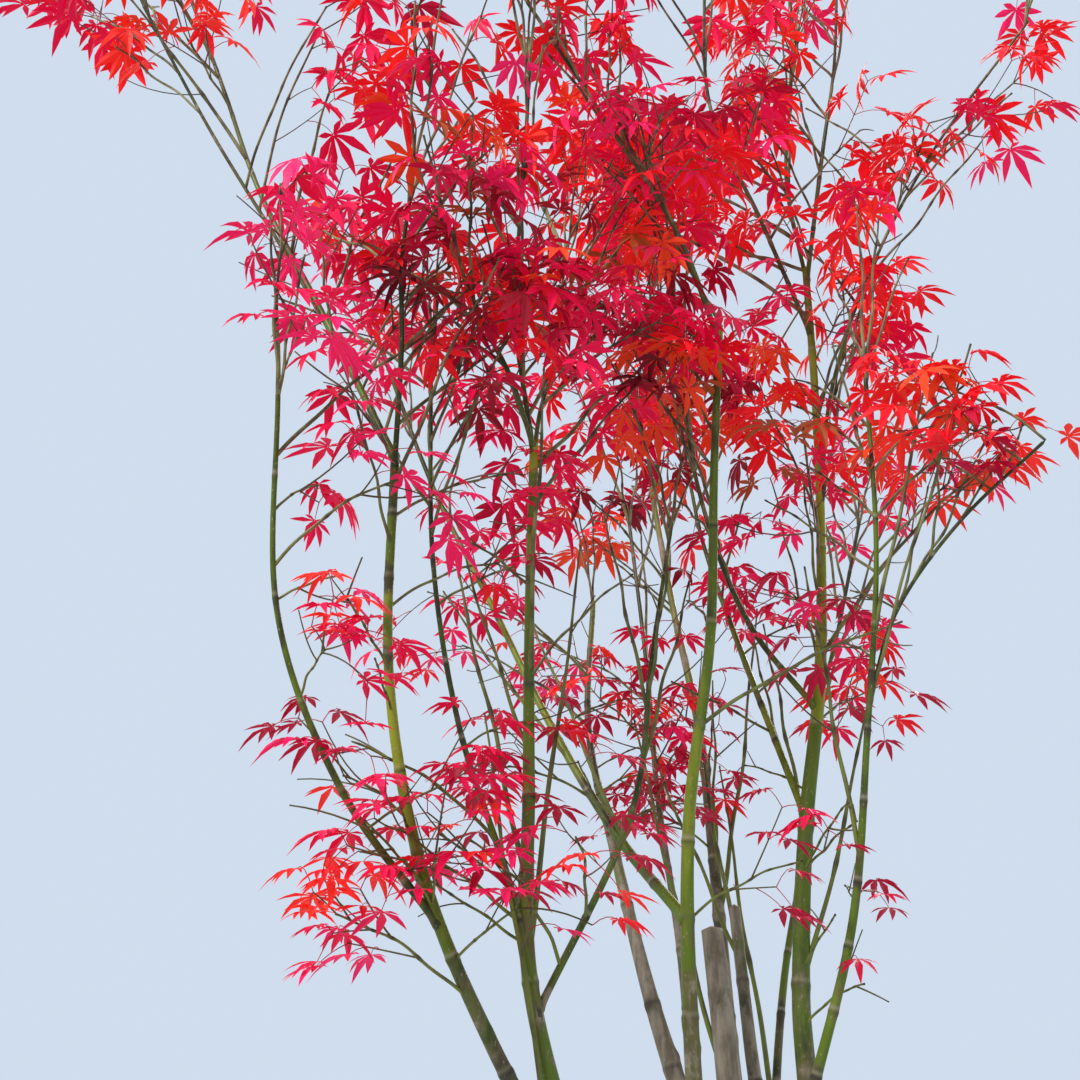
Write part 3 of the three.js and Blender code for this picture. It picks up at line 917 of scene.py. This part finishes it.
def swelling(rows, shares, width):
    """How much a line swells at each row: a bell at each node's share of the way."""
    place = np.linspace(0, 1, rows)
    return bell(place[None, :, None] - shares[:, None, :], width).sum(axis=2)


shares = np.clip(TWIG_SHARES + rng.normal(0, 0.02, (len(boughs), len(TWIG_SHARES))), 0.2, 1.0)
bough_foot = np.clip(BOUGH_TIP + BOUGH_TAPER * reach[:, 0], 0.0013, 0.85 * wood_radius)
bough_radius = np.linspace(1, 0, BOUGH_ROWS) ** 0.8 * (bough_foot - BOUGH_TIP)[:, None] + BOUGH_TIP
bough_nodes = swelling(BOUGH_ROWS, shares, BOUGH_NODE_WIDTH)
bough_radius = bough_radius * (1 + BOUGH_NODE_SWELL * bough_nodes)

node_points, node_along = at_shares(boughs, shares)
tilt = rng.normal(0, TWIG_TILT, shares.shape) + PAIR_TURN * (np.arange(len(TWIG_SHARES)) % 2)
twig_out = pair_directions(node_along, tilt, TWIG_ANGLE)
twig_length = rng.uniform(*TWIG_LENGTH, twig_out.shape[:3]) * (1.35 - 0.5 * shares)[..., None]
twig_start = np.broadcast_to(node_points[:, :, None, :], twig_out.shape).reshape(-1, 3)
twig_out = unit(twig_out.reshape(-1, 3) * np.array([1, 1, 0.85]))
twig_length = twig_length.reshape(-1, 1)
twig_bough = np.repeat(np.arange(len(boughs)), 2 * len(TWIG_SHARES))
chance = np.where(kind == SHOOT, SHOOT_TWIG_CHANCE, TWIG_CHANCE)[:, None] + TIP_TWIGS * (TWIG_SHARES > 0.85)
kept = rng.random(len(twig_start)) < np.repeat(chance, 2, axis=1).ravel()
twig_start, twig_out, twig_length, twig_bough = only(kept, twig_start, twig_out, twig_length, twig_bough)
twig_end = twig_start + twig_out * twig_length + UP * rng.normal(0, 0.12, twig_length.shape) * twig_length
twig_middle = twig_start + twig_out * twig_length * 0.5
twig_bend = twig_middle + UP * rng.normal(-0.03, 0.08, twig_length.shape) * twig_length
twigs = quadratic(twig_start, twig_bend, twig_end, TWIG_ROWS)
twig_radius = np.linspace(*TWIG_RADIUS, TWIG_ROWS) * rng.uniform(0.85, 1.2, (len(twigs), 1))
print(len(twigs), "twigs")

# %% [markdown]
# ## Leaf stalks and leaf places
# Leaves sit in pairs, each on a thin red stalk that springs out from the twig and then nods. The twigs of
# a mass are gone through in a seeded order, whole boughs together and named sprays first, and given leaves
# until the mass has the number it should have. What is left over stays bare, which keeps the crown open.

# %% Stalks
LEAF_SHARES = np.array([0.55, 1.0])
LEAF_CHANCE = np.array([0.55, 0.95])
STALK_LENGTH = (0.02, 0.042)
STALK_ANGLE = np.radians(55)
SPRING, NOD = 0.2, 0.2  # how far a stalk rises at first and sinks at its end, as shares of its length
STALK_ROWS = 5
LEAF_ROOM = 0.012  # kept free inside the frame's box at the end of a stalk
LATEST = np.array([0.55, 0.0, 0.55, 0.25])  # how late in the order each kind of bough can come
TWIG_DELAY = 0.45  # and how much later than its bough a twig can

leaf_points, leaf_along = at_shares(twigs, np.tile(LEAF_SHARES, (len(twigs), 1)))
leaf_tilt = rng.normal(0.1, 0.4, leaf_points.shape[:2]) + 1.3 * np.arange(len(LEAF_SHARES))
stalk_out = pair_directions(leaf_along, leaf_tilt, STALK_ANGLE)
stalk_start = np.broadcast_to(leaf_points[:, :, None, :], stalk_out.shape).reshape(-1, 3)
stalk_out = stalk_out.reshape(-1, 3)
stalk_twig = np.repeat(np.arange(len(twigs)), 2 * len(LEAF_SHARES))
stalk_length = rng.uniform(*STALK_LENGTH, (len(stalk_start), 1))
stalk_bend = stalk_start + (stalk_out + SPRING * UP) * stalk_length * 0.6
stalk_end = stalk_start + stalk_out * stalk_length * np.array([1, 1, 0.7]) - UP * NOD * stalk_length
present = rng.random(len(stalk_start)) < np.tile(np.repeat(LEAF_CHANCE, 2), len(twigs))
present &= in_box(stalk_end, LEAF_ROOM)
bough_order = rng.random(len(boughs)) * LATEST[kind]
twig_order = bough_order[twig_bough] + rng.random(len(twigs)) * TWIG_DELAY
stalk_mass = mass_number[twig_bough[stalk_twig]]
present &= ~in_open_hole(stalk_end, stalk_mass)
for number, count in enumerate(wanted):
    mine = np.flatnonzero(present & (stalk_mass == number))
    mine = mine[np.argsort(twig_order[stalk_twig[mine]])]
    present[mine[int(count) :]] = False
    print(mass_names[number], "has", min(int(count), len(mine)), "of", int(count))
stalk_start, stalk_bend, stalk_end, stalk_twig = only(
    present, stalk_start, stalk_bend, stalk_end, stalk_twig
)
stalks = quadratic(stalk_start, stalk_bend, stalk_end, STALK_ROWS)
leafy = np.isin(np.arange(len(twigs)), stalk_twig)
drawn = leafy | (rng.random(len(twigs)) < BARE_TWIGS)
print(len(stalks), "leaves on", leafy.sum(), "twigs, and", (drawn & ~leafy).sum(), "bare twigs")

# %% [markdown]
# ## Leaf blades
# A blade has seven narrow lobes, cut almost to the stalk, widest at their middle and drawn out to a fine
# tip. Each lobe is folded along its midrib and curls down towards its tip. A half lobe is a strip of three
# quads and a triangle, so a leaf has 56 faces and still has its own outline. Twelve different blades are
# made once, and every leaf is one of them, turned, scaled and joined to the others as whole arrays.

# %% Blade shapes
LOBE_ANGLES = np.radians([0, 35, -35, 73, -73, 118, -118])
LOBE_LENGTHS = np.array([1, 0.95, 0.95, 0.76, 0.76, 0.4, 0.4])
LOBE_STATIONS = np.array([0.02, 0.24, 0.5, 0.76, 1.0])
LOBE_WIDTHS = np.array([0.018, 0.06, 0.122, 0.078])
LOBES = len(LOBE_ANGLES)
LOBE_JITTER = 0.07  # spread of the lobes' angles in radians, and of their lengths as a share
BLADE_KINDS = 12
HALF_POINTS = len(LOBE_STATIONS) + len(LOBE_WIDTHS)


def blade():
    """Corners of one blade, for a middle lobe of length 1 along +X. A lobe point lies s along its midrib
    and w beside it. Its height is fold times w minus curl times s squared, and the lobe bends aside by
    sway times s squared."""
    angles = LOBE_ANGLES + rng.normal(0, LOBE_JITTER, LOBES)
    lengths = LOBE_LENGTHS * rng.normal(1, LOBE_JITTER, LOBES)
    fold = rng.uniform(0.2, 0.6)
    curl = rng.uniform(0.1, 0.45) + rng.uniform(0, 0.35, LOBES)
    sway = rng.normal(0, 0.14, LOBES)
    strips = []
    for beside in (1, -1):
        s = np.concatenate([LOBE_STATIONS, LOBE_STATIONS[:-1]])
        w = np.concatenate([np.zeros(len(LOBE_STATIONS)), beside * LOBE_WIDTHS])
        s, w = s[None, :] * lengths[:, None], w[None, :] * np.sqrt(lengths)[:, None]
        w = w + sway[:, None] * s**2
        x = s * np.cos(angles)[:, None] - w * np.sin(angles)[:, None]
        y = s * np.sin(angles)[:, None] + w * np.cos(angles)[:, None]
        z = fold * np.abs(w - sway[:, None] * s**2) - curl[:, None] * s**2
        strips.append(np.stack([x, y, z], axis=-1))
    return np.stack(strips, axis=1).reshape(-1, 3)


def blade_faces():
    """Quads and tips of all half lobes. In each half the midrib's corners come first and then its edge's.
    The right half runs the other way round, so that all faces look up."""
    rib = len(LOBE_STATIONS)
    rows = np.arange(rib - 2)
    left = np.stack([rows, rows + 1, rows + rib + 1, rows + rib], axis=1)
    quads = np.vstack([left, left[:, ::-1] + HALF_POINTS])
    tip = np.array([rib - 2, rib - 1, 2 * rib - 2])
    tips = np.array([tip, tip[::-1] + HALF_POINTS])
    starts_of = 2 * HALF_POINTS * np.arange(LOBES)[:, None, None]
    return (quads[None] + starts_of).reshape(-1, 4), (tips[None] + starts_of).reshape(-1, 3)


blades = np.array([blade() for _ in range(BLADE_KINDS)])
blade_quads, blade_tips = blade_faces()
print("one blade has", len(blade_quads) + len(blade_tips), "faces")

# %% Turn of each leaf
BLADE_LENGTH = (0.031, 0.047)
BLADE_DROOP = np.radians((-8, 55))
SIZE_HEIGHTS = (1.45, 2.0, 2.6)
BLADE_SIZES = (0.9, 1.0, 1.12)  # leaves in the shade low down are smaller
TURN_SHARES = (0.2, 1.0, 1.0)  # and lie flatter
BLADE_ROLL = 0.35

count = len(stalks)
heading = stalk_end - stalk_bend
heading = heading * np.array([1, 1, 0]) + rng.normal(0, 0.003, (count, 3)) * np.array([1, 1, 0])
heading = unit(heading)
turned = np.interp(stalk_end[:, 2:], SIZE_HEIGHTS, TURN_SHARES)
droop = rng.uniform(*BLADE_DROOP, (count, 1)) * turned
rib = np.cos(droop) * heading - np.sin(droop) * UP
face = unit(UP - (UP * rib).sum(axis=1, keepdims=True) * rib)
roll = rng.normal(0, BLADE_ROLL, (count, 1)) * turned
across_rib = np.cross(face, rib)
face, across_rib = (
    np.cos(roll) * face + np.sin(roll) * across_rib,
    np.cos(roll) * across_rib - np.sin(roll) * face,
)
grown_to = np.interp(stalk_end[:, 2, None, None], SIZE_HEIGHTS, BLADE_SIZES)
length = rng.uniform(*BLADE_LENGTH, (count, 1, 1)) * grown_to
local = blades[rng.integers(0, BLADE_KINDS, count)] * length
leaf_corners = (
    stalk_end[:, None]
    + local[..., :1] * rib[:, None]
    + local[..., 1:2] * across_rib[:, None]
    + local[..., 2:] * face[:, None]
)
print("mean span of a leaf in mm:", round(float(np.ptp(leaf_corners, axis=1).max(axis=1).mean()) * 1000))

# %% [markdown]
# ## Autumn tints
# The photo's leaves run from pink crimson to scarlet and orange, and turn maroon where the crown is dense;
# that maroon is partly the leaves' own colour and partly painted shade.
# A tint belongs to a place, so each bough picks one near its mass's own tint, and some twigs and single
# leaves stray. Low down on the right the leaves hang in the shade and are a deeper crimson. Every tint is one
# joined piece with one plain colour: a thin leaf has no pattern that shows at this size, and plain colours
# come through any export unchanged. A little glow of its own stands for the light that shines through a thin
# leaf.

# %% Leaf materials
TINTS = {
    "crimson": (0.74, 0.004, 0.06),
    "deep_crimson": (0.45, 0.004, 0.035),
    "rose": (0.85, 0.014, 0.12),
    "scarlet": (0.84, 0.01, 0.018),
    "bright_scarlet": (0.93, 0.03, 0.02),
    "orange_red": (0.76, 0.055, 0.014),
    "amber_brown": (0.36, 0.065, 0.018),
    "maroon": (0.27, 0.007, 0.018),
    "dark_maroon": (0.14, 0.005, 0.012),
}
GLOW = 0.14
SHADE_BELOW, SHADE_FADE, SHADE_SHARE = 1.85, 0.35, 0.7
SHADE_LEFT_END, SHADE_WAY_IN = -0.3, 0.2  # the shade starts at this x and is full this much further right
TINT_CHANCES = {
    "leaves_crimson": {"crimson": 5, "rose": 3.5, "scarlet": 2.2, "deep_crimson": 0.6, "bright_scarlet": 0.8},
    "leaves_scarlet": {"scarlet": 4, "bright_scarlet": 2.2, "crimson": 4, "orange_red": 0.6, "rose": 2.2},
    "leaves_orange": {"orange_red": 3.5, "bright_scarlet": 3, "amber_brown": 1, "scarlet": 3},
    # In the dense middle the maroon, dark maroon and deep crimson tints are partly the leaves' own colour and
    # partly painted shade.
    "leaves_maroon": {
        "crimson": 2.4,
        "deep_crimson": 2.4,
        "scarlet": 3,
        "orange_red": 1.1,
        "maroon": 1.5,
        "dark_maroon": 0.35,
        "amber_brown": 1,
    },
}
STRAY = 0.3  # share of the twigs whose tint isn't their bough's
LEAF_STRAY = STRAY * 0.6  # share of the leaves whose tint isn't their twig's
tint_names = list(TINTS)


def leaf_material(name, colour):
    """A thin satin leaf of one plain colour that also shines a little in that colour."""
    pad = Pad(name)
    return pad.finish(
        Base_Color=rgb(*colour),
        Roughness=0.5,
        Specular_IOR_Level=0.16,
        Emission_Color=rgb(*colour),
        Emission_Strength=GLOW,
    )


def pick_tints(slots):
    """One tint for each slot name, by that slot's chances."""
    picked = np.zeros(len(slots), dtype=int)
    for slot, chances in TINT_CHANCES.items():
        mine = np.flatnonzero(slots == slot)
        weights = np.array([chances.get(name, 0) for name in tint_names])
        picked[mine] = rng.choice(len(tint_names), len(mine), p=weights / weights.sum())
    return picked


bough_slot = np.array([slot_of[mass_names[number]] for number in mass_number])
twig_slot = bough_slot[twig_bough]
strays = rng.random(len(twigs)) < STRAY
twig_tint = np.where(strays, pick_tints(twig_slot), pick_tints(bough_slot)[twig_bough])
strays = rng.random(count) < LEAF_STRAY
leaf_tint = np.where(strays, pick_tints(twig_slot[stalk_twig]), twig_tint[stalk_twig])
shade = np.clip((SHADE_BELOW - stalk_end[:, 2]) / SHADE_FADE, 0, 1)
shade = shade * np.clip((stalk_end[:, 0] - SHADE_LEFT_END) / SHADE_WAY_IN, 0, 1)
leaf_tint[rng.random(count) < SHADE_SHARE * shade] = tint_names.index("deep_crimson")
print({name: int((leaf_tint == number).sum()) for number, name in enumerate(tint_names)})


# %% Join the leaves of each tint
def slot_for(tint):
    """The record's slot whose chances favour this tint most, as a share of all of that slot's chances."""
    shares = {slot: chances.get(tint, 0) / sum(chances.values()) for slot, chances in TINT_CHANCES.items()}
    return max(shares, key=shares.get)


for number, tint in enumerate(tint_names):
    mine = leaf_corners[leaf_tint == number]
    first = 2 * LOBES * HALF_POINTS * np.arange(len(mine))[:, None, None]
    faces = [(blade_quads[None] + first).reshape(-1, 4), (blade_tips[None] + first).reshape(-1, 3)]
    slot = slot_for(tint)
    leaves = put("leaves_" + tint, mine.reshape(-1, 3), faces, leaf_material("leaf_" + tint, TINTS[tint]))
    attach(leaves, "root")
    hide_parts(*[name for name in mass_names if slot_of[name] == slot])

# %% [markdown]
# ## Fine wood
# Boughs, twigs and stalks are tubes of three to six sides: they are one to five millimetres thick, so more
# sides would never show. Boughs are olive grey, twigs darker and browner, and stalks red like the leaves.


# %% Boughs, twigs and stalks
GREEN_BELOW = (1.35, 1.95)
STALK_RADIUS = (0.0006, 0.0004)


def thin_bark(name, dark, light, green):
    """Twig bark: two tones in soft streaks, greener the lower it grows, and dark at the nodes."""
    pad = Pad(name)
    streaks = pad.between(pad.noise((1, 1, 0.5), 60), 0.35, 0.65)
    place = pad.node("ShaderNodeTexCoord", output="Object")
    height = pad.node("ShaderNodeSeparateXYZ", inputs={"Vector": place}, output="Z")
    colour = pad.mix(rgb(*dark), rgb(*light), streaks)
    low = (1 - pad.between(height, *GREEN_BELOW)) * (0.4 + streaks * 0.5)
    colour = pad.mix(colour, rgb(*green), low)
    colour = pad.mix(colour, rgb(0.03, 0.02, 0.015), pad.layer("mark") * 0.8)
    return pad.finish(Base_Color=colour, Roughness=0.5, Specular_IOR_Level=0.3)


def fine_tubes(name, lines, radius, sides, material, marks=None):
    """One joined piece of thin tubes; marks says how dark each row is, where the bark has such a layer."""
    corners = tubes(lines, radius, sides).reshape(-1, 3)
    layers = {} if marks is None else {"mark": np.repeat(marks.ravel(), sides)}
    piece = put(name, corners, tube_faces(len(lines), lines.shape[1], sides), material, layers=layers)
    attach(piece, "root")


bough_bark = thin_bark("bough_bark", (0.075, 0.06, 0.03), (0.24, 0.23, 0.1), (0.16, 0.2, 0.02))
twig_bark = thin_bark("twig_bark", (0.05, 0.028, 0.02), (0.16, 0.115, 0.06), (0.13, 0.13, 0.03))
fine_tubes("boughs", boughs, bough_radius, 6, bough_bark, bough_nodes)
twig_marks = np.where(np.arange(TWIG_ROWS) == TWIG_ROWS - 1, 0.7, 0.0) * np.ones((drawn.sum(), 1))
fine_tubes("twigs", twigs[drawn], twig_radius[drawn], 4, twig_bark, twig_marks)
stalk_radius = np.linspace(*STALK_RADIUS, STALK_ROWS) * np.ones((len(stalks), 1))
stalk_finish = leaf_material("stalk_red", (0.4, 0.02, 0.03))
fine_tubes("leaf_stalks", stalks, stalk_radius, 3, stalk_finish)

# %% [markdown]
# ## Floor, light and camera
# The tree stands on a plain pale floor. Soft studio light comes from all round, with a large warm light high
# in front on the left, and a second one behind on the right, because thin leaves look best lit from behind.

# %% Floor and light
FLOOR_HALF = 40.0
floor = put(
    "floor",
    np.array([[-1, -1, 0], [1, -1, 0], [1, 1, 0], [-1, 1, 0]]) * FLOOR_HALF,
    [np.array([[0, 1, 2, 3]])],
    Pad("floor_pale").finish(Base_Color=rgb(0.56, 0.56, 0.55), Roughness=0.8),
)

world = bpy.data.worlds.new("soft_sky")
world.use_nodes = True
world.node_tree.nodes["Background"].inputs["Color"].default_value = rgb(0.74, 0.85, 1.0)
world.node_tree.nodes["Background"].inputs["Strength"].default_value = 0.85
bpy.context.scene.world = world


def lamp(name, place, aim, size, power, colour):
    """A square soft light that faces a point."""
    data = bpy.data.lights.new(name, "AREA")
    data.size = size
    data.energy = power
    data.color = colour
    made = bpy.data.objects.new(name, data)
    made.location = place
    way = unit(np.array(aim, dtype=float) - np.array(place, dtype=float))
    yaw, pitch = np.arctan2(-way[0], way[1]), np.arccos(-way[2])
    made.rotation_euler = (pitch, 0, yaw)
    bpy.context.collection.objects.link(made)


lamp("key", (-2.6, -2.6, 4.6), (0, 0, 1.8), 1.4, 215, (1.0, 0.96, 0.9))
lamp("back", (2.4, 3.2, 4.2), (0, 0, 1.9), 2.2, 185, (1.0, 0.97, 0.93))
bpy.context.scene.view_settings.view_transform = "Standard"

# %% Camera, low and looking up into the crown
CAMERA_PLACE = (-0.19, -1.5, 1.17)
CAMERA_PITCH = np.radians(21.5)
IMAGE_SIDE = 1080
FOCAL_PIXELS = 1400

camera_data = bpy.data.cameras.new("camera")
camera_data.sensor_width = 36
camera_data.lens = 36 * FOCAL_PIXELS / IMAGE_SIDE
camera = bpy.data.objects.new("camera", camera_data)
camera.location = CAMERA_PLACE
camera.rotation_euler = (np.pi / 2 + CAMERA_PITCH, 0, 0)
bpy.context.collection.objects.link(camera)
bpy.context.scene.camera = camera
